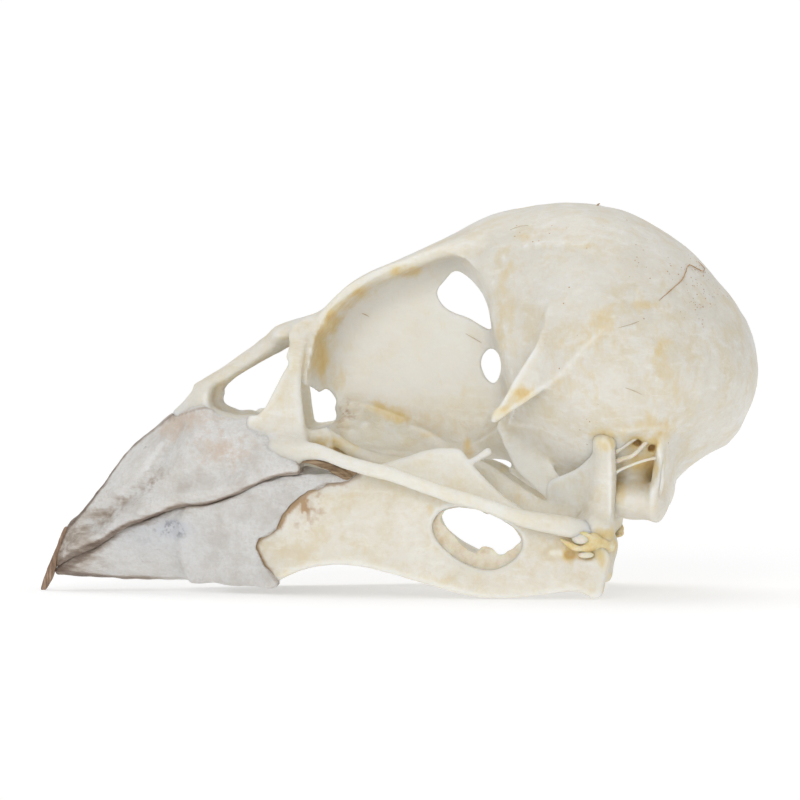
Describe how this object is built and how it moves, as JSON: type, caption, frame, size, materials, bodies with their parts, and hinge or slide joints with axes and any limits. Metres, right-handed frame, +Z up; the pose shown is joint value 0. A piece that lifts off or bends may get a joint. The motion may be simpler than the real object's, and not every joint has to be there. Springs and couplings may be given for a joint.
{
  "type": "greenfinch skull",
  "caption": "Finch skull, life size: domed braincase, large orbits, short deep conical bill in pale horn, closed lower jaw; lies on bill tip and jaw.",
  "frame": {"origin": "middle of the bounding box, at the level of the flats that it rests on", "axes": "+X from the bill tip to the back of the head, along the longest side; +Y to the bird's right side, across the plane of symmetry; +Z up"},
  "size_m": [0.0316, 0.0155, 0.0171],
  "materials": {
    "bone": "dry ivory bone, satin, with yellow and orange stains",
    "thin_bone": "paper-thin translucent bone, satin",
    "horn": "flaking grey-white horn sheath with brown edges",
    "brown_horn": "brown horn, split along its grain"
  },
  "bodies": {
    "root": {"braincase": "bone", "frontal_roof": "bone", "interorbital_septum": "thin_bone", "ectethmoid_wall": "thin_bone", "nasal_bones": "bone", "upper_horn_sheath": "horn", "bill_tip_splinter": "brown_horn", "lower_horn_sheath": "horn", "mandible_ramus_left": "bone", "mandible_ramus_right": "bone", "quadrate_left": "bone", "quadrate_right": "bone", "jugal_bar_left": "bone", "jugal_bar_right": "bone", "palatine_left": "thin_bone", "palatine_right": "thin_bone", "pterygoid_left": "thin_bone", "pterygoid_right": "thin_bone"}
  },
  "joints": []
}
